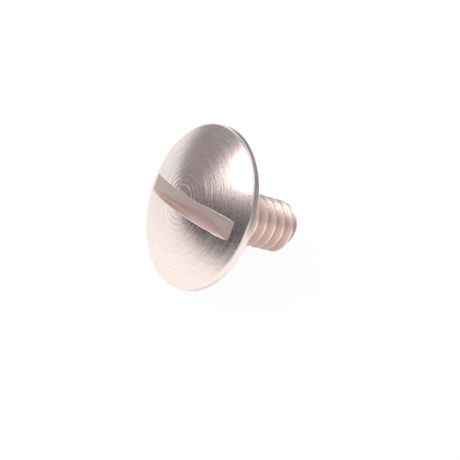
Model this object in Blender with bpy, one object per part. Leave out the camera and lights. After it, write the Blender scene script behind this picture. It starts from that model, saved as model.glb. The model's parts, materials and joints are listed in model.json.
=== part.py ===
"""Slotted mushroom head machine screw, turned, threaded and slotted from one piece of stainless steel.

The screw is built upright, with the head's bearing face at z = 0, the dome above it and the shank
below. Then it is laid down as it comes to rest, on the head's rim and the last thread of the shank.
The thread is right-handed, 24 to the inch, and 3/8 inch long under the head.
"""

import math

import bmesh
import bpy
from mathutils import Matrix, Vector

# Head: a low spherical dome on a short cylindrical rim
HEAD_DIAMETER = 0.01428
RIM_HEIGHT = 0.00060
DOME_RISE = 0.00175
RIM_TOP_ROUND = 0.00016
RIM_LOW_ROUND = 0.00008

# Driver slot: flat floored, cut straight across the dome
SLOT_WIDTH = 0.00154
SLOT_DEPTH = 0.00125
SLOT_ANGLE = math.radians(2.1)

# Shank, with its thread, its neck under the head and its chamfered tip
SHANK_LENGTH = 0.009525
THREAD_DIAMETER = 0.00480
THREAD_PITCH = 0.0254 / 24
FLANK_ANGLE = math.radians(30)
NECK_FILLET = 0.00020
NECK_LENGTH = 0.00035
THREAD_RUNOUT = 0.00100
TIP_CHAMFER = 0.00030
THREAD_START_ANGLE = math.radians(97)

# Facets, with a flat side at the bottom of each turned outline, so that the screw lies still
HEAD_SIDES = 70
THREAD_SIDES = 46
DOME_RINGS = 14
ROUND_STEPS = 3

# How far the shank's solid runs into the head, and each cutter past what it cuts
OVERLAP = 0.00030
CLEAR = 0.0010

# The rim's points that may touch a table lie at least this share of the head's radius below the axis
RIM_SHARE = 0.9

HEAD_RADIUS = HEAD_DIAMETER / 2
HEAD_HEIGHT = RIM_HEIGHT + DOME_RISE
DOME_RADIUS = (HEAD_RADIUS**2 + DOME_RISE**2) / (2 * DOME_RISE)
THREAD_RADIUS = THREAD_DIAMETER / 2
CREST_FLAT = THREAD_PITCH / 8
ROOT_FLAT = THREAD_PITCH / 4
THREAD_DEPTH = (THREAD_PITCH - CREST_FLAT - ROOT_FLAT) / 2 / math.tan(FLANK_ANGLE)
ROOT_ROUND = ROOT_FLAT / 2 * math.tan(FLANK_ANGLE)


def clear_scene():
    for obj in list(bpy.data.objects):
        bpy.data.objects.remove(obj, do_unlink=True)


def steel():
    """Bright stainless steel with a fine turned finish."""
    material = bpy.data.materials.new("turned_stainless_steel")
    material.use_nodes = True
    shader = material.node_tree.nodes["Principled BSDF"]
    shader.inputs["Base Color"].default_value = (0.66, 0.62, 0.60, 1.0)
    shader.inputs["Metallic"].default_value = 1.0
    shader.inputs["Roughness"].default_value = 0.32
    return material


def solid(name, bm):
    """An object made from bm, with its faces pointing out and its round faces shaded smooth."""
    bmesh.ops.recalc_face_normals(bm, faces=bm.faces)
    mesh = bpy.data.meshes.new(name)
    bm.to_mesh(mesh)
    bm.free()
    mesh.shade_smooth()
    mesh.set_sharp_from_angle(angle=math.radians(28))
    obj = bpy.data.objects.new(name, mesh)
    bpy.context.scene.collection.objects.link(obj)
    return obj


def helper(obj, parent):
    """Marks a cutter or other guide, which isn't part of the screw, and ties it to the screw."""
    obj.hide_render = True
    obj.display_type = "WIRE"
    obj.parent = parent
    return obj


def turned(name, profile, sides):
    """A solid of revolution about Z. The profile is (radius, height), and it starts and ends on the axis."""
    bm = bmesh.new()
    chain = [bm.verts.new((radius, 0, height)) for radius, height in profile]
    edges = [bm.edges.new(pair) for pair in zip(chain, chain[1:])]
    axis = Vector((0, 0, 1))
    bmesh.ops.spin(bm, geom=chain + edges, cent=(0, 0, 0), axis=axis, angle=math.tau, steps=sides, use_merge=True)
    bmesh.ops.remove_doubles(bm, verts=bm.verts, dist=1e-7)
    return solid(name, bm)


def arc(centre, radius, start, end, steps):
    """Points (r, z) round an arc, with angles measured from the axis's direction towards the outside."""
    angles = [start + (end - start) * i / steps for i in range(steps + 1)]
    return [(centre[0] + radius * math.sin(a), centre[1] + radius * math.cos(a)) for a in angles]


def head_profile():
    """From the dome's top, over the rim and along the bearing face, to a cone that sinks into the shank."""
    ball_height = HEAD_HEIGHT - DOME_RADIUS
    round_centre_r = HEAD_RADIUS - RIM_TOP_ROUND
    reach = DOME_RADIUS - RIM_TOP_ROUND
    round_centre_z = ball_height + math.sqrt(reach**2 - round_centre_r**2)
    dome_edge = math.asin(round_centre_r / reach)
    quarter = math.pi / 2
    dome = arc((0, ball_height), DOME_RADIUS, 0, dome_edge, DOME_RINGS)
    top_round = arc((round_centre_r, round_centre_z), RIM_TOP_ROUND, dome_edge, quarter, ROUND_STEPS)
    low_centre = (HEAD_RADIUS - RIM_LOW_ROUND, RIM_LOW_ROUND)
    low_round = arc(low_centre, RIM_LOW_ROUND, quarter, math.pi, ROUND_STEPS)
    sunk = NECK_FILLET + OVERLAP / 3
    neck = [
        (THREAD_RADIUS + NECK_FILLET, 0),
        (THREAD_RADIUS + NECK_FILLET - sunk, -sunk),
        (0, -sunk),
    ]
    return dome + top_round[1:] + low_round + neck


def thread_section():
    """One pitch of the thread's outline: crest, flank, rounded root. Each point is (depth, height)."""
    half = THREAD_PITCH / 2
    return [
        (0, -CREST_FLAT / 2),
        (0, CREST_FLAT / 2),
        (THREAD_DEPTH, half - ROOT_FLAT / 2),
        (THREAD_DEPTH + ROOT_ROUND, half),
        (THREAD_DEPTH, half + ROOT_FLAT / 2),
    ]


def groove_share(height):
    """How much of the groove's depth is cut at this height: all of it, and none at the neck."""
    share = (-height - NECK_LENGTH) / THREAD_RUNOUT
    share = min(max(share, 0), 1)
    return share * share * (3 - 2 * share)


def threaded_rod():
    """A right-handed threaded rod, longer than the shank at both ends.

    Each turn's section joins the next turn's, so the whole surface is one strip wound on itself,
    closed at each end by a fan of faces to a point on the axis.
    """
    section = thread_section()
    past_tip = 2
    past_neck = math.ceil(OVERLAP / THREAD_PITCH) + 2
    turns = past_tip + math.ceil(SHANK_LENGTH / THREAD_PITCH) + past_neck
    start = -SHANK_LENGTH - past_tip * THREAD_PITCH
    bm = bmesh.new()
    rows = []
    for step in range(turns * THREAD_SIDES + 1):
        turn = step / THREAD_SIDES
        angle = THREAD_START_ANGLE + math.tau * turn
        row = []
        for depth, offset in section:
            height = start + THREAD_PITCH * turn + offset
            radius = THREAD_RADIUS - depth * groove_share(height)
            row.append(bm.verts.new((radius * math.cos(angle), radius * math.sin(angle), height)))
        rows.append(row)
    for row, following in zip(rows, rows[1:]):
        for i in range(len(section) - 1):
            bm.faces.new((row[i], following[i], following[i + 1], row[i + 1]))
    for step in range((turns - 1) * THREAD_SIDES):
        above, above_next = rows[step + THREAD_SIDES][0], rows[step + THREAD_SIDES + 1][0]
        bm.faces.new((rows[step][-1], rows[step + 1][-1], above_next, above))
    low_rim = [row[0] for row in rows[: THREAD_SIDES + 1]] + rows[0][::-1]
    high_rim = [row[-1] for row in rows[-THREAD_SIDES - 1 :]] + rows[-1][-2::-1]
    close_end(bm, low_rim[:-1], start)
    close_end(bm, high_rim, start + turns * THREAD_PITCH)
    return solid("threaded_rod", bm)


def close_end(bm, rim, height):
    centre = bm.verts.new((0, 0, height))
    for first, second in zip(rim, rim[1:] + rim[:1]):
        bm.faces.new((first, second, centre))


def shank_envelope():
    """What is left of the rod: from inside the head to the tip, with the tip's edge chamfered."""
    wide = THREAD_RADIUS + CLEAR
    end_radius = THREAD_RADIUS - TIP_CHAMFER
    cone_top = -SHANK_LENGTH + wide - end_radius
    profile = [(0, OVERLAP), (wide, OVERLAP), (wide, cone_top), (end_radius, -SHANK_LENGTH), (0, -SHANK_LENGTH)]
    return turned("shank_envelope", profile, HEAD_SIDES)


def slot_cutter():
    """A bar as wide as the slot, longer than the head and open above it."""
    bm = bmesh.new()
    top = HEAD_HEIGHT + CLEAR
    floor = HEAD_HEIGHT - SLOT_DEPTH
    bmesh.ops.create_cube(bm, size=1)
    size = Matrix.Diagonal((HEAD_DIAMETER + 2 * CLEAR, SLOT_WIDTH, top - floor, 1))
    turn = Matrix.Rotation(SLOT_ANGLE, 4, "Z")
    middle = Matrix.Translation((0, 0, (top + floor) / 2))
    bmesh.ops.transform(bm, matrix=middle @ turn @ size, verts=bm.verts)
    return solid("slot_cutter", bm)


def boolean(obj, name, operation, other):
    modifier = obj.modifiers.new(name, "BOOLEAN")
    modifier.operation = operation
    modifier.solver = "EXACT"
    modifier.object = other


def make_screw():
    screw = turned("screw", head_profile(), HEAD_SIDES)
    rod = helper(threaded_rod(), screw)
    boolean(rod, "trim_to_length", "INTERSECT", helper(shank_envelope(), screw))
    boolean(screw, "join_shank", "UNION", rod)
    boolean(screw, "cut_slot", "DIFFERENCE", helper(slot_cutter(), screw))
    screw.data.materials.append(steel())
    return screw


def surface_points(obj):
    """The finished solid's points, in the object's own frame."""
    bpy.context.view_layer.update()
    evaluated = obj.evaluated_get(bpy.context.evaluated_depsgraph_get())
    points = [vertex.co.copy() for vertex in evaluated.to_mesh().vertices]
    evaluated.to_mesh_clear()
    return points


def resting_slope(points):
    """The angle down to the table of the axis, when the rim and the shank both touch the table."""
    rim = [p for p in points if p.y < -HEAD_RADIUS * RIM_SHARE]
    shank = [p for p in points if p.z < -SHANK_LENGTH / 2 and p.y < 0]
    return max(min(math.atan2(p.y - q.y, q.z - p.z) for p in shank) for q in rim)


def lay_down(screw):
    """Rests the screw on the rim's lowest chord and on the part of the thread that a table meets first."""
    points = surface_points(screw)
    screw.rotation_euler = (math.pi / 2 - resting_slope(points), 0, 0)
    turn = screw.rotation_euler.to_matrix()
    placed = [turn @ p for p in points]
    low = Vector([min(p[i] for p in placed) for i in range(3)])
    high = Vector([max(p[i] for p in placed) for i in range(3)])
    screw.location = (-(low.x + high.x) / 2, -(low.y + high.y) / 2, -low.z)


def main():
    clear_scene()
    lay_down(make_screw())


main()
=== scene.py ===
"""The looks of a slotted mushroom head machine screw in satin stainless steel.

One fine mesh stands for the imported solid: the same forms and sizes, with the marks that turning,
milling and thread rolling leave. It is built upright, with the bearing face at z = 0 and the dome
above it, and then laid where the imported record's mounts say that the screw rests.
"""

import json
import math

import bmesh
import bpy
from mathutils import Matrix, Vector, noise

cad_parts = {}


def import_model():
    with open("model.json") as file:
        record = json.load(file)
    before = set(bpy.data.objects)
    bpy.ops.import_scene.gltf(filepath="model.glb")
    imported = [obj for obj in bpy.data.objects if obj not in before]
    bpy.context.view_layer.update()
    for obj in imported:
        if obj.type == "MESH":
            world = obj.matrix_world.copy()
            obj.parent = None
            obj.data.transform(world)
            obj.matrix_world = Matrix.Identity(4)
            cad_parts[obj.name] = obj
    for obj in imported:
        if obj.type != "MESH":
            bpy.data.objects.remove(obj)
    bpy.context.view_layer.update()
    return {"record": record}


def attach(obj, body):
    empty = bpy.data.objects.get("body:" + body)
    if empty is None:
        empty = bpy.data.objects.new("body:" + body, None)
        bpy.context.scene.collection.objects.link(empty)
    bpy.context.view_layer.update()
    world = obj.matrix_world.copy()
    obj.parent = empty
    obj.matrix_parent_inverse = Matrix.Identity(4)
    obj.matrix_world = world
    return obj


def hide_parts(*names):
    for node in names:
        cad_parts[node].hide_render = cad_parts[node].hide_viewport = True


MM = 0.001

# The solid's own sizes, as in the CAD source, apart from the round between dome and rim: it is 0.16 mm
# there, and wider here, where it gives the rim the thin line that the photo shows
HEAD_DIAMETER = 14.28 * MM
RIM_HEIGHT = 0.60 * MM
DOME_RISE = 1.75 * MM
RIM_TOP_ROUND = 0.30 * MM
RIM_LOW_ROUND = 0.08 * MM
SLOT_WIDTH = 1.54 * MM
SLOT_DEPTH = 1.25 * MM
SLOT_ANGLE = math.radians(2.1)
SHANK_LENGTH = 9.525 * MM
THREAD_DIAMETER = 4.80 * MM
THREAD_PITCH = 25.4 * MM / 24
FLANK_ANGLE = math.radians(30)
NECK_FILLET = 0.20 * MM
NECK_LENGTH = 0.35 * MM
THREAD_RUNOUT = 1.00 * MM
TIP_CHAMFER = 0.30 * MM
THREAD_START_ANGLE = math.radians(97)

HEAD_RADIUS = HEAD_DIAMETER / 2
HEAD_HEIGHT = RIM_HEIGHT + DOME_RISE
DOME_RADIUS = (HEAD_RADIUS**2 + DOME_RISE**2) / (2 * DOME_RISE)
SLOT_FLOOR = HEAD_HEIGHT - SLOT_DEPTH
THREAD_RADIUS = THREAD_DIAMETER / 2
CREST_FLAT = THREAD_PITCH / 8
ROOT_FLAT = THREAD_PITCH / 4
THREAD_DEPTH = (THREAD_PITCH - CREST_FLAT - ROOT_FLAT) / 2 / math.tan(FLANK_ANGLE)
ROOT_RADIUS = ROOT_FLAT / 2 / math.cos(FLANK_ANGLE)

# Marks of the turning tool: grooves near the dome's middle, each a radius, a depth and a half width, with
# how uneven they are and the share that is left of them on the worn side, then the waves of the feed, and
# the width of the band beside the rim's round in which all of them fade out
TOOL_GROOVES = [
    (0.15 * MM, 0.0080 * MM, 0.12 * MM),
    (0.75 * MM, 0.0110 * MM, 0.12 * MM),
    (1.38 * MM, 0.0190 * MM, 0.12 * MM),
    (1.77 * MM, 0.0160 * MM, 0.10 * MM),
    (2.26 * MM, 0.0150 * MM, 0.10 * MM),
    (2.64 * MM, 0.0120 * MM, 0.10 * MM),
    (3.20 * MM, 0.0060 * MM, 0.10 * MM),
    (3.75 * MM, 0.0040 * MM, 0.10 * MM),
]
GROOVES_UNEVEN = 0.3
GROOVES_WORN = 0.24
FEED_WAVE = 0.26 * MM
FEED_WAVE_DEPTH = 0.0012 * MM
MARKS_FADE = 0.1 * MM

# Broken edges and corners. Along the slot's edge on the -Y side and on the +Y side, the wear sets in at
# the first of two places and is full from the second
SLOT_EDGE_BREAK = 0.035 * MM
SLOT_WORN_BREAK = 0.12 * MM
SLOT_WEAR_PLACES = {-1: (0.1 * MM, 0.5 * MM), 1: (2.4 * MM, 3.8 * MM)}
SLOT_WEAR_LUMPS = 0.45 * MM
SLOT_WEAR_UNEVEN = 0.3
SLOT_FLOOR_CORNER = 0.04 * MM
CREST_CORNER = 0.055 * MM
TIP_EDGE_ROUND = 0.03 * MM

# Fineness of the mesh, and how far cutters and joined parts overlap
HEAD_SIDES = 240
INNER_RINGS = 120
OUTER_RINGS = 70
INNER_SHARE = 0.48
RIM_TOP_STEPS = 8
ROUND_STEPS = 6
UNDERSIDE_RINGS = 24
NECK_SWEEP = math.radians(66)
THREAD_SIDES = 180
TIP_EDGE_STEPS = 4
TIP_RINGS = 16
SLOT_STATIONS = 160
OVERLAP = 0.30 * MM
CLEAR = 1.0 * MM
LOWEST_WALL = 0.08 * MM
SMOOTH_UNDER = math.radians(34)

# Colours of the metal. The slot's tones go over the stains on its floor and then up its walls, which
# painted light makes paler, more so towards its +X end. The thread's tones go from its crests, painted
# paler as a highlight, to its roots, painted darker and browner as shade
TURNED_COLOR = (0.975, 0.845, 0.79)
MILLED_COLOR = (0.90, 0.71, 0.66)
ROLLED_COLOR = (0.86, 0.64, 0.54)
SLOT_STAIN_AND_PAINTED_LIGHT_TONES = [
    (0.0, (0.98, 0.78, 0.71)),
    (0.4, (0.93, 0.73, 0.66)),
    (0.6, (0.92, 0.82, 0.78)),
    (1.0, (0.94, 0.86, 0.83)),
]
THREAD_COLOR_AND_PAINTED_LIGHT = [
    (0.0, (0.98, 0.87, 0.82)),
    (0.17, (0.95, 0.79, 0.72)),
    (0.4, (0.93, 0.76, 0.68)),
    (1.0, (0.88, 0.69, 0.60)),
]

# Patterns in the metal: how wide the marks of each are, and how deep. The slot's marks run along it, so
# its patterns change slowly that way
STREAK_WIDTH = 0.17 * MM
STREAK_DEPTH = 0.010 * MM
DASH_WIDTH = 0.11 * MM
DASH_DEPTH = 0.0026 * MM
TURNED_GRAIN_WIDTH = 0.24 * MM
TURNED_GRAIN_DEPTH = 0.0070 * MM
CUTTER_MARK_WIDTH = 0.16 * MM
CUTTER_MARK_DEPTH = 0.006 * MM
CHANGE_ALONG_SLOT = (0.06, 1.0, 1.0)
STAIN_WIDTH = 0.7 * MM
ROLLING_LINE_WIDTH = 0.10 * MM
ROLLING_LINE_DEPTH = 0.003 * MM
ROLLED_GRAIN_WIDTH = 0.2 * MM
ROLLED_GRAIN_DEPTH = 0.004 * MM

# The photo's view: where the camera looks, from which side and how far away. A direction, here and in
# the studio, is an azimuth, measured from +Y towards +X, and an elevation, both in degrees
CAMERA_TARGET = Vector((1.16, -0.65, 4.00)) * MM
CAMERA_DIRECTION = (122.7, 28.84)
CAMERA_DISTANCE = 66.11 * MM
CAMERA_LENS = 59.94
CAMERA_CLIP = (1 * MM, 10)
SENSOR_WIDTH = 36.0

# Studio: a white floor, a wall all round that only the metal mirrors, and a softbox
FLOOR_RADIUS = 2.5
FLOOR_FIRST_RING = 0.004
FLOOR_RINGS = 40
FLOOR_SPOKES = 120
PAPER_COLOR = (0.95, 0.95, 0.95, 1.0)
WALL_DISTANCE = 1.4
WALL_FROM = -310
WALL_TO = 50
WALL_TOP = 84
WALL_COLUMNS = 120
WALL_ROWS = 28
SOFTBOX_DIRECTION = (-164, 61)
SOFTBOX_DISTANCE = 1.2
SOFTBOX_SIZE = 0.80
SOFTBOX_POWER = 5.2
WORLD_FILL = 0.85
WHITE = (1.0, 1.0, 1.0, 1.0)

# How evenly lit the paper looks: to the camera, and to the metal from beside the screw to further out
FLOOR_EVENNESS = 0.94
MIRRORED_EVENNESS = (0.15, 0.93)
MIRRORED_RANGE = (0.006, 0.030)

# How lit the metal sees the paper: it dims in one direction between two distances, and two patches
# are shaded. Each patch has the azimuths where it sets in and ends, and the distances where it sets in
POOL_AZIMUTH = -195
POOL_RANGE = (0.015, 0.12)
POOL_FAR_LEVEL = 0.42
SHADED_LEVEL = 0.2
SHADED_PATCHES = [
    ((24, 38), (70, 90), (0.016, 0.028)),
    ((-68, -58), (-46, -36), (0.028, 0.042)),
]

# The room's parts, each painted patch by patch. A patch is a level, where 1 is white, with the azimuths
# and the elevations over which it comes in, from none of it to all of it. ANYWHERE lies below them all
ANYWHERE = (-401, -400)
DIM_SIDE = [
    (0.12, ANYWHERE, ANYWHERE),
    (0.255, (-152, -126), ANYWHERE),
    (0.05, (-138, -154), (24, 14)),
    (0.28, (-236, -256), ANYWHERE),
    (0.9, (-205, -240), (34, 46)),
]
WHITE_SIDE = [
    (1.0, (-88, -74), ANYWHERE),
    (1.0, (-97, -90), (33, 37)),
]
BACK = [
    (0.26, ANYWHERE, ANYWHERE),
    (1.0, (-36, -24), ANYWHERE),
    (0.26, (16, 28), ANYWHERE),
    (0.17, ANYWHERE, (3, 10)),
    (0.9, ANYWHERE, (30, 38)),
]
BACK_FROM = (-56, -46)
CEILING = [
    (0.26, ANYWHERE, ANYWHERE),
    (0.9, (-50, -30), ANYWHERE),
    (0.9, (-220, -240), ANYWHERE),
]
CEILING_FROM = (46, 58)

# White cards along the foot of the dim side: where each starts and its slope, in degrees of elevation for
# one of azimuth, the height and the end of the one on the camera's side, and how soft their edge is
LEFT_CARD_START = -141
LEFT_CARD_SLOPE = 0.23
CAMERA_CARD_START = -181
CAMERA_CARD_SLOPE = -0.35
CAMERA_CARD_TOP = 17
CAMERA_CARD_END = (-266, -298)
CARD_SOFTNESS = 4

# The glow round the softbox, with the angles from its middle between which it fades, and the tints
HALO_LEVEL = 0.44
HALO_FADE = (18, 46)
DIM_TINT = (1.05, 0.975, 1.05)
WHITE_TINT = (0.98, 1.0, 1.07)
BACK_TINT = (1.0, 0.90, 1.38)


# Forms


def straight_between(value, start, end):
    """0 at start, 1 at end, straight between them and level beyond."""
    return min(max((value - start) / (end - start), 0), 1)


def between(value, start, end):
    """0 at start, 1 at end, smooth between them and level beyond. The end may be the lower one."""
    share = straight_between(value, start, end)
    return share * share * (3 - 2 * share)


def mix(first, second, share):
    return first + (second - first) * share


def make_object(name, points, faces, material):
    mesh = bpy.data.meshes.new(name)
    mesh.from_pydata(points, [], faces)
    bm = bmesh.new()
    bm.from_mesh(mesh)
    bmesh.ops.recalc_face_normals(bm, faces=bm.faces)
    bm.to_mesh(mesh)
    bm.free()
    mesh.materials.append(material)
    obj = bpy.data.objects.new(name, mesh)
    bpy.context.scene.collection.objects.link(obj)
    return obj


def arc(centre, radius, start, end, steps):
    """Points (r, z) round an arc, with angles measured from the axis's direction towards the outside."""
    angles = [start + (end - start) * i / steps for i in range(steps + 1)]
    return [(centre[0] + radius * math.sin(a), centre[1] + radius * math.cos(a)) for a in angles]


def spaced(start, end, steps):
    """Points (r, z) along a straight line, without its two ends."""
    shares = [i / steps for i in range(1, steps)]
    return [(mix(start[0], end[0], share), mix(start[1], end[1], share)) for share in shares]


def revolve(name, profile, sides, material):
    """A solid of revolution about Z. The profile is (radius, height) and starts and ends on the axis."""
    points = [(0, 0, profile[0][1])]
    for radius, height in profile[1:-1]:
        for i in range(sides):
            angle = math.tau * i / sides
            points.append((radius * math.cos(angle), radius * math.sin(angle), height))
    points.append((0, 0, profile[-1][1]))
    last = len(points) - 1
    faces = []
    for i in range(sides):
        j = (i + 1) % sides
        faces.append((0, 1 + i, 1 + j))
        for ring in range(len(profile) - 3):
            upper, lower = 1 + ring * sides, 1 + (ring + 1) * sides
            faces.append((upper + i, lower + i, lower + j, upper + j))
        faces.append((last - sides + j, last - sides + i, last))
    return make_object(name, points, faces, material)


def dome_height(radius):
    return HEAD_HEIGHT - DOME_RADIUS + math.sqrt(DOME_RADIUS**2 - radius**2)


def tool_marks(radius, angle):
    """How far the turned surface lies below the true dome. The grooves are worn fainter on the -Y side."""
    uneven = 1 + GROOVES_UNEVEN * noise.noise((3 * math.cos(angle), 3 * math.sin(angle), radius / MM))
    kept = mix(GROOVES_WORN, 1.0, between(math.sin(angle), -0.6, 0.6)) * uneven
    grooves = sum(depth * math.exp(-(((radius - at) / width) ** 2)) for at, depth, width in TOOL_GROOVES)
    slow = noise.noise((radius / FEED_WAVE, 0.5, 0.5))
    fast = noise.noise((2.3 * radius / FEED_WAVE, 7.5, 0.5))
    wave = slow + 0.6 * fast
    return grooves * kept + FEED_WAVE_DEPTH * (1 + wave)


def head_profile():
    """From the dome's top, over the rim and along the bearing face, to a cone that sinks into the shank."""
    ball_height = HEAD_HEIGHT - DOME_RADIUS
    round_centre_r = HEAD_RADIUS - RIM_TOP_ROUND
    reach = DOME_RADIUS - RIM_TOP_ROUND
    round_centre_z = ball_height + math.sqrt(reach**2 - round_centre_r**2)
    dome_edge = math.asin(round_centre_r / reach)
    quarter = math.pi / 2
    inner = arc((0, ball_height), DOME_RADIUS, 0, dome_edge * INNER_SHARE, INNER_RINGS)
    outer = arc((0, ball_height), DOME_RADIUS, dome_edge * INNER_SHARE, dome_edge, OUTER_RINGS)
    dome = inner + outer[1:]
    top_round = arc((round_centre_r, round_centre_z), RIM_TOP_ROUND, dome_edge, quarter, RIM_TOP_STEPS)
    low_centre = (HEAD_RADIUS - RIM_LOW_ROUND, RIM_LOW_ROUND)
    low_round = arc(low_centre, RIM_LOW_ROUND, quarter, math.pi, ROUND_STEPS)
    wall = spaced(top_round[-1], low_round[0], ROUND_STEPS)
    neck_centre = (THREAD_RADIUS + NECK_FILLET, -NECK_FILLET)
    neck = arc(neck_centre, NECK_FILLET, 0, -NECK_SWEEP, ROUND_STEPS)
    under = spaced(low_round[-1], neck[0], UNDERSIDE_RINGS)
    sunk = (THREAD_RADIUS - NECK_FILLET, neck[-1][1] - 3 * NECK_FILLET)
    return dome + top_round[1:] + wall + low_round + under + neck + [sunk, (0, sunk[1])]


def turned_head(material):
    head = revolve("machine_screw", head_profile(), HEAD_SIDES, material)
    edge = HEAD_RADIUS - RIM_TOP_ROUND
    for vertex in head.data.vertices:
        radius = math.hypot(vertex.co.x, vertex.co.y)
        if radius < edge and vertex.co.z > RIM_HEIGHT:
            fade = 1 - between(radius, edge - MARKS_FADE, edge)
            vertex.co.z -= fade * tool_marks(radius, math.atan2(vertex.co.y, vertex.co.x))
    return head


def thread_section():
    """One pitch of the thread's outline from one crest to the next. Each point is (depth, height)."""
    half = THREAD_PITCH / 2
    turn = math.pi / 2 - FLANK_ANGLE
    tangent = CREST_CORNER * math.tan(turn / 2)
    corner_at = CREST_FLAT / 2 - tangent
    corner = [
        (CREST_CORNER * (1 - math.cos(a)), corner_at + CREST_CORNER * math.sin(a))
        for a in (0, turn / 3, turn * 2 / 3, turn)
    ]
    root = [
        (THREAD_DEPTH + ROOT_RADIUS * (math.cos(a) - math.sin(FLANK_ANGLE)), half + ROOT_RADIUS * math.sin(a))
        for a in [turn * k / 3 for k in range(-3, 4)]
    ]
    # Three points of the flank: one close to each end, and the middle one
    flank = spaced(corner[-1], root[0], 8)[::3]
    rising = [(depth, THREAD_PITCH - height) for depth, height in flank[::-1] + corner[::-1]]
    return corner + flank + root + rising[:-1]


def groove_share(height):
    """How much of the groove's depth is cut at this height: all of it, and none at the neck."""
    return between((-height - NECK_LENGTH) / THREAD_RUNOUT, 0, 1)


def threaded_rod(material):
    """A right-handed threaded rod, longer than the shank at both ends, as one strip wound on itself."""
    section = thread_section()
    width = len(section)
    past_tip = 2
    past_neck = math.ceil(OVERLAP / THREAD_PITCH) + 2
    turns = past_tip + math.ceil(SHANK_LENGTH / THREAD_PITCH) + past_neck
    start = -SHANK_LENGTH - past_tip * THREAD_PITCH
    steps = turns * THREAD_SIDES
    points = []
    for step in range(steps + 1):
        turn = step / THREAD_SIDES
        angle = THREAD_START_ANGLE + math.tau * turn
        for depth, offset in section:
            height = start + THREAD_PITCH * turn + offset
            radius = THREAD_RADIUS - depth * groove_share(height)
            points.append((radius * math.cos(angle), radius * math.sin(angle), height))
    faces = []
    for step in range(steps):
        row, following = step * width, (step + 1) * width
        faces += [(row + i, following + i, following + i + 1, row + i + 1) for i in range(width - 1)]
    for step in range(steps - THREAD_SIDES):
        above = (step + THREAD_SIDES) * width
        end = step * width + width - 1
        faces.append((end, end + width, above + width, above))
    low_rim = [step * width for step in range(THREAD_SIDES + 1)] + list(range(width - 1, 0, -1))
    last = steps * width
    high_rim = [step * width + width - 1 for step in range(steps - THREAD_SIDES, steps + 1)]
    high_rim += list(range(last + width - 2, last - 1, -1))
    # Each end is closed by a fan of faces to a point on the axis
    for rim, height in ((low_rim[::-1], start), (high_rim, start + turns * THREAD_PITCH)):
        points.append((0, 0, height))
        middle = len(points) - 1
        faces += [(a, b, middle) for a, b in zip(rim, rim[1:] + rim[:1])]
    return make_object("threaded_rod", points, faces, material)


def shank_envelope(material):
    """What is left of the rod: from inside the head to the tip, with the tip's edge chamfered."""
    wide = THREAD_RADIUS + CLEAR
    end_radius = THREAD_RADIUS - TIP_CHAMFER
    cone_top = -SHANK_LENGTH + wide - end_radius
    edge_centre = (end_radius - TIP_EDGE_ROUND, -SHANK_LENGTH + TIP_EDGE_ROUND)
    edge = arc(edge_centre, TIP_EDGE_ROUND, math.radians(135), math.pi, TIP_EDGE_STEPS)
    end_face = spaced(edge[-1], (0, -SHANK_LENGTH), TIP_RINGS)
    profile = [(0, OVERLAP), (wide, OVERLAP), (wide, cone_top), *edge, *end_face, (0, -SHANK_LENGTH)]
    return revolve("shank_envelope", profile, THREAD_SIDES, material)


def lip_break(x, side):
    """How far the slot's edge is broken at x: hardly, but more and unevenly where drivers have worn it."""
    uneven = 1.1 + SLOT_WEAR_UNEVEN * noise.noise((x / SLOT_WEAR_LUMPS, 3.5 + side, 0.5))
    return mix(SLOT_EDGE_BREAK, SLOT_WORN_BREAK * uneven, between(x, *SLOT_WEAR_PLACES[side]))


def slot_side(wall, edge):
    """Half of the cutter's outline where the slot's wall is this high, from the floor to above the edge."""
    half = SLOT_WIDTH / 2
    corner = min(SLOT_FLOOR_CORNER, wall / 4)
    rounded = min(edge, wall / 2.4)
    lip = SLOT_FLOOR + wall
    side = [(half - 1.5 * corner, SLOT_FLOOR)]
    for degrees in (0, 30, 60, 90):
        a = math.radians(degrees)
        side.append((half - corner * (1 - math.sin(a)), SLOT_FLOOR + corner * (1 - math.cos(a))))
    # The wall, with a point close to each of its ends
    side.append((half, SLOT_FLOOR + corner + (wall - corner - rounded) * 0.1))
    side.append((half, lip - 1.3 * rounded))
    # The round of the edge, which runs on straight until it is clear of the dome
    for degrees in (0, 20, 40, 60):
        a = math.radians(degrees)
        side.append((half + rounded * (1 - math.cos(a)), lip - rounded * (1 - math.sin(a))))
    flare = half + 1.37 * rounded
    side.append((flare, lip + 0.37 * rounded))
    side.append((flare, HEAD_HEIGHT + CLEAR))
    return side


def slot_cutter(material):
    """A bar along the slot with a flat floor, whose sides flare at the dome's surface to break its edges."""
    reach = HEAD_RADIUS + CLEAR
    turn = Matrix.Rotation(SLOT_ANGLE, 3, "Z")
    points = []
    for station in range(SLOT_STATIONS + 1):
        x = -reach + 2 * reach * station / SLOT_STATIONS
        wall = max(dome_height(math.hypot(x, SLOT_WIDTH / 2)) - SLOT_FLOOR, LOWEST_WALL)
        low, high = (slot_side(wall, lip_break(x, side)) for side in (-1, 1))
        outline = [(-y, z) for y, z in low] + high[::-1]
        points += [turn @ Vector((x, y, z)) for y, z in outline]
    width = len(outline)
    faces = [tuple(range(width)), tuple(range(SLOT_STATIONS * width, (SLOT_STATIONS + 1) * width))]
    for station in range(SLOT_STATIONS):
        row, following = station * width, (station + 1) * width
        for i in range(width):
            j = (i + 1) % width
            faces.append((row + i, row + j, following + j, following + i))
    return make_object("slot_cutter", points, faces, material)


def combine(obj, operation, other):
    """Joins, trims or cuts obj with another closed mesh, whose faces keep their material."""
    modifier = obj.modifiers.new(operation.lower(), "BOOLEAN")
    modifier.operation = operation
    modifier.solver = "EXACT"
    modifier.double_threshold = 1e-9
    modifier.material_mode = "TRANSFER"
    modifier.object = other
    graph = bpy.context.evaluated_depsgraph_get()
    mesh = bpy.data.meshes.new_from_object(obj.evaluated_get(graph))
    obj.modifiers.clear()
    obj.data = mesh
    bpy.data.objects.remove(other)


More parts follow.
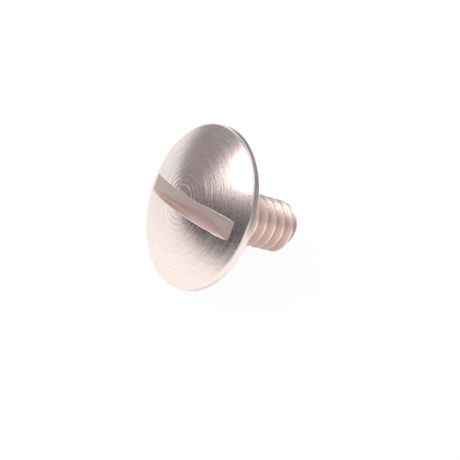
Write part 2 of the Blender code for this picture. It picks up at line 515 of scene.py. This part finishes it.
def make_screw(turned, milled, rolled):
    screw = turned_head(turned)
    rod = threaded_rod(rolled)
    combine(screw, "DIFFERENCE", slot_cutter(milled))
    combine(rod, "INTERSECT", shank_envelope(rolled))
    combine(screw, "UNION", rod)
    screw.data.shade_smooth()
    screw.data.set_sharp_from_angle(angle=SMOOTH_UNDER)
    return screw


def resting_place(record):
    """Takes the upright screw to where it lies: its tip and its axis are those of the record's mount."""
    tip = next(mount for mount in record["mounts"] if mount["name"] == "tip_end")
    up = -Vector(tip["axis"]).normalized()
    across = Vector((1, 0, 0))
    turn = Matrix((across, up.cross(across), up)).transposed().to_4x4()
    middle = Vector(tip["pos_m"]) + up * SHANK_LENGTH
    return Matrix.Translation(middle) @ turn


# Nodes


class Nodes:
    """A node tree, with a short call for each kind of node that repeats."""

    def __init__(self, tree):
        self.tree = tree

    def add(self, kind):
        return self.tree.nodes.new(kind)

    def link(self, output, socket):
        self.tree.links.new(output, socket)

    def put(self, value, socket):
        if isinstance(value, bpy.types.NodeSocket):
            self.link(value, socket)
        else:
            socket.default_value = value

    def math(self, operation, a, b):
        node = self.add("ShaderNodeMath")
        node.operation = operation
        self.put(a, node.inputs[0])
        self.put(b, node.inputs[1])
        return node.outputs["Value"]

    def vector(self, operation, a, b=(0.0, 0.0, 0.0)):
        node = self.add("ShaderNodeVectorMath")
        node.operation = operation
        self.put(a, node.inputs[0])
        self.put(b, node.inputs[1])
        return node.outputs["Value" if operation in ("LENGTH", "DOT_PRODUCT") else "Vector"]

    def spread(self, value, low, high, start=0.0, end=1.0):
        """value's range from start to end mapped to low to high."""
        node = self.add("ShaderNodeMapRange")
        names = ("Value", "From Min", "From Max", "To Min", "To Max")
        for name, part in zip(names, (value, start, end, low, high)):
            self.put(part, node.inputs[name])
        return node.outputs["Result"]

    def noise(self, place, scale=1.0, detail=2.0, roughness=0.5):
        node = self.add("ShaderNodeTexNoise")
        self.link(place, node.inputs["Vector"])
        node.inputs["Scale"].default_value = scale
        node.inputs["Detail"].default_value = detail
        node.inputs["Roughness"].default_value = roughness
        return node.outputs["Fac"]

    def ramp(self, value, stops):
        node = self.add("ShaderNodeValToRGB")
        self.link(value, node.inputs["Fac"])
        elements = node.color_ramp.elements
        for (at, color), element in zip(stops, [elements[0], elements[1]]):
            element.position = at
            element.color = (*color, 1.0)
        for at, color in stops[2:]:
            elements.new(at).color = (*color, 1.0)
        return node.outputs["Color"]


# Finishes


class Finish(Nodes):
    """A metal made of nodes, in the upright screw's own coordinates.

    The color and the roughness given hold where no nodes take their place.
    """

    def __init__(self, name, color, roughness, anisotropy, place):
        self.material = bpy.data.materials.new(name)
        self.material.use_nodes = True
        super().__init__(self.material.node_tree)
        self.shader = self.tree.nodes["Principled BSDF"]
        self.shader.inputs["Metallic"].default_value = 1.0
        self.shader.inputs["Base Color"].default_value = (*color, 1.0)
        self.shader.inputs["Roughness"].default_value = roughness
        self.shader.inputs["Anisotropic"].default_value = anisotropy
        self.lying = self.add("ShaderNodeTexCoord").outputs["Object"]
        self.middle = tuple(place.translation)
        raise_up = place.inverted()
        mapping = self.add("ShaderNodeMapping")
        mapping.inputs["Rotation"].default_value = raise_up.to_euler()
        mapping.inputs["Location"].default_value = raise_up.translation
        self.link(self.lying, mapping.inputs["Vector"])
        self.upright = mapping.outputs["Vector"]
        self.flat = self.vector("MULTIPLY", self.upright, (1.0, 1.0, 0.0))
        self.radius = self.vector("LENGTH", self.flat)
        self.height = self.vector("DOT_PRODUCT", self.upright, (0.0, 0.0, 1.0))
        self.normal = None

    def give(self, name, output):
        self.link(output, self.shader.inputs[name])

    def bump(self, height, depth):
        """Raises the surface by up to depth where height is 1, on top of the bumps before it."""
        node = self.add("ShaderNodeBump")
        node.inputs["Distance"].default_value = depth
        self.link(height, node.inputs["Height"])
        if self.normal:
            self.link(self.normal, node.inputs["Normal"])
        self.normal = node.outputs["Normal"]
        self.give("Normal", self.normal)

    def round_the_axis(self, width, around):
        """A place for noise that runs in circles: marks of this width, and about this many in a radian."""
        run = self.math("MULTIPLY", self.math("SUBTRACT", self.radius, self.height), 1 / width)
        rise = self.add("ShaderNodeCombineXYZ")
        self.link(run, rise.inputs["Z"])
        turning = self.vector("MULTIPLY", self.vector("NORMALIZE", self.flat), (around, around, around))
        return self.vector("ADD", turning, rise.outputs["Vector"])

    def stretch_reflections(self):
        """Stretches them along the outline, across the circles that the tools left."""
        self.give("Tangent", self.vector("SUBTRACT", self.lying, self.middle))


def turned_steel(place):
    """Bright steel with the fine circles of a turning tool, and a fine grain over them."""
    steel = Finish("turned_steel", TURNED_COLOR, roughness=0.26, anisotropy=0.6, place=place)
    streaks = steel.noise(steel.round_the_axis(STREAK_WIDTH, around=2.2))
    dashes = steel.noise(steel.round_the_axis(DASH_WIDTH, around=12.0))
    grain = steel.noise(steel.upright, 1 / TURNED_GRAIN_WIDTH, detail=3.0)
    across = steel.vector("DOT_PRODUCT", steel.upright, (1.0, 0.0, 0.0))
    kept = steel.spread(across, 0.4, 1.0, start=-3.0 * MM, end=0.5 * MM)
    steel.bump(steel.math("MULTIPLY", streaks, kept), STREAK_DEPTH)
    steel.bump(dashes, DASH_DEPTH)
    steel.bump(grain, TURNED_GRAIN_DEPTH)
    smoother_middle = steel.spread(steel.radius, 0.5, 1.0, start=1.2 * MM, end=3.4 * MM)
    mottle = steel.math("ADD", streaks, steel.math("MULTIPLY", grain, 0.5))
    rough = steel.spread(mottle, 0.23, 0.365, start=0.5, end=1.0)
    steel.give("Roughness", steel.math("MULTIPLY", rough, smoother_middle))
    steel.stretch_reflections()
    return steel.material


def milled_steel(place):
    """The slot: duller and browner than the dome, with cutter marks along it."""
    steel = Finish("milled_steel", MILLED_COLOR, roughness=0.3, anisotropy=0.0, place=place)
    turn = steel.add("ShaderNodeVectorRotate")
    turn.rotation_type = "Z_AXIS"
    turn.inputs["Angle"].default_value = -SLOT_ANGLE
    steel.link(steel.upright, turn.inputs["Vector"])
    stretched = steel.vector("MULTIPLY", turn.outputs["Vector"], CHANGE_ALONG_SLOT)
    marks = steel.noise(stretched, 1 / CUTTER_MARK_WIDTH)
    steel.bump(marks, CUTTER_MARK_DEPTH)
    on_wall = steel.spread(steel.height, 0.0, 1.0, start=SLOT_FLOOR + 0.02 * MM, end=SLOT_FLOOR + 0.06 * MM)
    run = steel.vector("DOT_PRODUCT", turn.outputs["Vector"], (1.0, 0.0, 0.0))
    right = steel.spread(run, 0.0, 1.0, start=-0.6 * MM, end=1.6 * MM)
    wall_wear = steel.math("MULTIPLY", on_wall, steel.spread(right, 0.06, 0.22))
    left_wear = steel.spread(run, 0.16, 0.0, start=-6.0 * MM, end=-3.0 * MM)
    rough = steel.spread(marks, 0.26, 0.42, start=0.35, end=0.65)
    steel.give("Roughness", steel.math("ADD", rough, steel.math("ADD", wall_wear, left_wear)))
    stains = steel.noise(stretched, 1 / STAIN_WIDTH, detail=3.0)
    on_floor = steel.spread(stains, 0.0, 0.4, start=0.3, end=0.7)
    # Painted light: the walls are paler than the floor, and more so towards the slot's +X end
    painted_lit_wall = steel.math("MULTIPLY", on_wall, steel.spread(right, 0.6, 1.0))
    tone = steel.math("MAXIMUM", on_floor, painted_lit_wall)
    steel.give("Base Color", steel.ramp(tone, SLOT_STAIN_AND_PAINTED_LIGHT_TONES))
    return steel.material


def rolled_steel(place):
    """The thread: warm dull flanks with faint lines along the turns, crests rubbed smooth and painted pale.
    """
    steel = Finish("rolled_steel", ROLLED_COLOR, roughness=0.40, anisotropy=0.3, place=place)
    lines = steel.noise(steel.round_the_axis(ROLLING_LINE_WIDTH, around=1.5), detail=3.0, roughness=0.6)
    steel.bump(lines, ROLLING_LINE_DEPTH)
    grain = steel.noise(steel.upright, 1 / ROLLED_GRAIN_WIDTH, detail=3.0)
    steel.bump(grain, ROLLED_GRAIN_DEPTH)
    depth = steel.spread(steel.radius, 1.0, 0.0, start=THREAD_RADIUS - THREAD_DEPTH, end=THREAD_RADIUS)
    # Painted light and shade: paler crests as a highlight, darker and browner roots as shade
    steel.give("Base Color", steel.ramp(depth, THREAD_COLOR_AND_PAINTED_LIGHT))
    rubbed = steel.spread(depth, -0.16, 0.0, start=0.0, end=0.2)
    rough = steel.spread(grain, 0.38, 0.56, start=0.3, end=0.7)
    steel.give("Roughness", steel.math("ADD", rough, rubbed))
    steel.stretch_reflections()
    return steel.material


# Studio


def direction(azimuth, elevation):
    """Azimuth is measured from +Y towards +X, in degrees."""
    a, e = math.radians(azimuth), math.radians(elevation)
    return Vector((math.sin(a) * math.cos(e), math.cos(a) * math.cos(e), math.sin(e)))


def floor_level(azimuth, distance):
    """How lit the paper is at this place, as the metal mirrors it."""
    away = distance * math.cos(math.radians(azimuth - POOL_AZIMUTH))
    level = mix(1.0, POOL_FAR_LEVEL, straight_between(away, *POOL_RANGE))
    shade = 0
    for first_side, last_side, reach in SHADED_PATCHES:
        inside = between(azimuth, *first_side) * (1 - between(azimuth, *last_side))
        shade = max(shade, inside * between(distance, *reach))
    return mix(level, SHADED_LEVEL, shade)


def painted(level, patches, azimuth, elevation):
    """The level in this direction after each patch in turn has been laid over it."""
    for patch, sides, heights in patches:
        level = mix(level, patch, between(azimuth, *sides) * between(elevation, *heights))
    return level


def card_edge(azimuth):
    """The elevation up to which the white cards hide the dim side."""
    left = LEFT_CARD_SLOPE * (azimuth - LEFT_CARD_START)
    camera = min(CAMERA_CARD_SLOPE * (azimuth - CAMERA_CARD_START), CAMERA_CARD_TOP)
    return max(left, camera * (1 - between(azimuth, *CAMERA_CARD_END)))


def wall_level(azimuth, elevation):
    """How bright the room is: a dim side over white cards, a white side, and a dark back and ceiling."""
    dim = painted(0.0, DIM_SIDE, azimuth, elevation)
    edge = card_edge(azimuth)
    level = mix(1.0, dim, between(elevation, edge - CARD_SOFTNESS, edge + CARD_SOFTNESS))
    level = painted(level, WHITE_SIDE, azimuth, elevation)
    level = mix(level, painted(0.0, BACK, azimuth, elevation), between(azimuth, *BACK_FROM))
    level = mix(level, painted(0.0, CEILING, azimuth, elevation), between(elevation, *CEILING_FROM))
    off_softbox = math.degrees(direction(azimuth, elevation).angle(direction(*SOFTBOX_DIRECTION)))
    return max(level, mix(HALO_LEVEL, 0.0, between(off_softbox, *HALO_FADE)))


def wall_tint(azimuth, level):
    """White is a little cool, the dim parts are a little rosy, and the dark back of the room is violet."""
    whiteness = between(level, 0.3, 0.9)
    at_back = between(azimuth, -64, -50) * (1 - between(level, 0.2, 0.5))
    tints = zip(DIM_TINT, WHITE_TINT, BACK_TINT)
    return [mix(mix(dim, white, whiteness), back, at_back) for dim, white, back in tints]


def studio_material(name):
    """A material without a shader, its nodes, and the socket for its surface."""
    material = bpy.data.materials.new(name)
    material.use_nodes = True
    nodes = Nodes(material.node_tree)
    nodes.tree.nodes.clear()
    return material, nodes, nodes.add("ShaderNodeOutputMaterial").inputs["Surface"]


def paint(obj, colors):
    shade = obj.data.color_attributes.new("shade", "FLOAT_COLOR", "POINT")
    for corner, color in zip(shade.data, colors):
        corner.color = color


def painted_shade(nodes):
    attribute = nodes.add("ShaderNodeAttribute")
    attribute.attribute_name = "shade"
    return attribute.outputs["Color"]


def evenness(nodes, paths):
    """The share of even light: nearly all for the camera, and for the metal little near the screw."""
    distance = nodes.vector("LENGTH", nodes.add("ShaderNodeTexCoord").outputs["Object"])
    near = nodes.spread(distance, *MIRRORED_EVENNESS, *MIRRORED_RANGE)
    mirrored = nodes.spread(paths.outputs["Is Glossy Ray"], 0.0, near)
    return nodes.spread(paths.outputs["Is Camera Ray"], mirrored, FLOOR_EVENNESS)


def white_paper():
    """Paper that the camera and the metal see lit evenly, under a share of the real light and shadow."""
    material, nodes, surface = studio_material("white_paper")
    paper = nodes.add("ShaderNodeBsdfDiffuse")
    paper.inputs["Color"].default_value = PAPER_COLOR
    paths = nodes.add("ShaderNodeLightPath")
    tone = nodes.add("ShaderNodeMix")
    tone.data_type = "RGBA"
    tone.inputs["A"].default_value = WHITE
    nodes.link(paths.outputs["Is Glossy Ray"], tone.inputs["Factor"])
    nodes.link(painted_shade(nodes), tone.inputs["B"])
    even = nodes.add("ShaderNodeEmission")
    nodes.link(tone.outputs["Result"], even.inputs["Color"])
    blend = nodes.add("ShaderNodeMixShader")
    nodes.link(evenness(nodes, paths), blend.inputs["Fac"])
    nodes.link(paper.outputs["BSDF"], blend.inputs[1])
    nodes.link(even.outputs["Emission"], blend.inputs[2])
    nodes.link(blend.outputs["Shader"], surface)
    return material


def make_floor():
    """A disk of rings, which are closer together near the screw."""
    growth = (FLOOR_RADIUS / FLOOR_FIRST_RING) ** (1 / (FLOOR_RINGS - 1))
    points = [(0, 0, 0)]
    colors = [WHITE]
    for ring in range(FLOOR_RINGS):
        distance = FLOOR_FIRST_RING * growth**ring
        for spoke in range(FLOOR_SPOKES):
            azimuth = 360 * spoke / FLOOR_SPOKES - 180
            points.append(direction(azimuth, 0) * distance)
            level = floor_level(azimuth, distance)
            colors.append((level, level, level, 1))
    faces = []
    for spoke in range(FLOOR_SPOKES):
        following = (spoke + 1) % FLOOR_SPOKES
        faces.append((0, 1 + following, 1 + spoke))
        for ring in range(FLOOR_RINGS - 1):
            inner, outer = 1 + ring * FLOOR_SPOKES, 1 + (ring + 1) * FLOOR_SPOKES
            faces.append((inner + spoke, inner + following, outer + following, outer + spoke))
    floor = make_object("floor", points, faces, white_paper())
    paint(floor, colors)


def glowing_wall():
    material, nodes, surface = studio_material("room_wall")
    glow = nodes.add("ShaderNodeEmission")
    nodes.link(painted_shade(nodes), glow.inputs["Color"])
    nodes.link(glow.outputs["Emission"], surface)
    return material


def make_room_wall():
    """The room round the screw, which only the metal mirrors."""
    points, colors = [], []
    for column in range(WALL_COLUMNS + 1):
        azimuth = WALL_FROM + (WALL_TO - WALL_FROM) * column / WALL_COLUMNS
        foot = direction(azimuth, 0) * WALL_DISTANCE
        for row in range(WALL_ROWS + 1):
            elevation = WALL_TOP * row / WALL_ROWS
            points.append(foot + Vector((0, 0, WALL_DISTANCE * math.tan(math.radians(elevation)))))
            level = wall_level(azimuth, elevation)
            colors.append((*(level * part for part in wall_tint(azimuth, level)), 1))
    height = WALL_ROWS + 1
    faces = []
    for column in range(WALL_COLUMNS):
        for row in range(WALL_ROWS):
            corner = column * height + row
            faces.append((corner, corner + height, corner + height + 1, corner + 1))
    wall = make_object("room_wall", points, faces, glowing_wall())
    paint(wall, colors)
    wall.visible_camera = False
    wall.visible_diffuse = False
    wall.visible_shadow = False


def make_softbox():
    """One large soft lamp above and to the left of the camera."""
    lamp = bpy.data.lights.new("softbox", "AREA")
    lamp.shape = "DISK"
    lamp.size = SOFTBOX_SIZE
    lamp.energy = SOFTBOX_POWER
    obj = bpy.data.objects.new("softbox", lamp)
    bpy.context.scene.collection.objects.link(obj)
    towards = direction(*SOFTBOX_DIRECTION)
    obj.location = towards * SOFTBOX_DISTANCE
    obj.rotation_euler = towards.to_track_quat("Z", "Y").to_euler()


def make_world():
    """White for the camera and for what the metal mirrors, and a little less for the light on surfaces."""
    world = bpy.data.worlds.new("pale_room")
    bpy.context.scene.world = world
    world.use_nodes = True
    nodes = Nodes(world.node_tree)
    background = nodes.tree.nodes["Background"]
    background.inputs["Color"].default_value = WHITE
    paths = nodes.add("ShaderNodeLightPath")
    seen = nodes.math("MAXIMUM", paths.outputs["Is Camera Ray"], paths.outputs["Is Glossy Ray"])
    nodes.link(nodes.spread(seen, WORLD_FILL, 1.0), background.inputs["Strength"])


def make_camera():
    camera = bpy.data.objects.new("camera", bpy.data.cameras.new("camera"))
    bpy.context.scene.collection.objects.link(camera)
    back = direction(*CAMERA_DIRECTION)
    camera.location = CAMERA_TARGET + back * CAMERA_DISTANCE
    camera.rotation_euler = back.to_track_quat("Z", "Y").to_euler()
    camera.data.sensor_width = SENSOR_WIDTH
    camera.data.lens = CAMERA_LENS
    camera.data.clip_start, camera.data.clip_end = CAMERA_CLIP
    bpy.context.scene.camera = camera


def main():
    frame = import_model()
    place = resting_place(frame["record"])
    screw = make_screw(turned_steel(place), milled_steel(place), rolled_steel(place))
    screw.data.transform(place)
    lowest = min(vertex.co.z for vertex in screw.data.vertices)
    screw.data.transform(Matrix.Translation((0, 0, -lowest)))
    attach(screw, "root")
    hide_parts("screw")
    make_floor()
    make_room_wall()
    make_softbox()
    make_world()
    make_camera()
    bpy.context.scene.view_settings.view_transform = "Standard"


main()
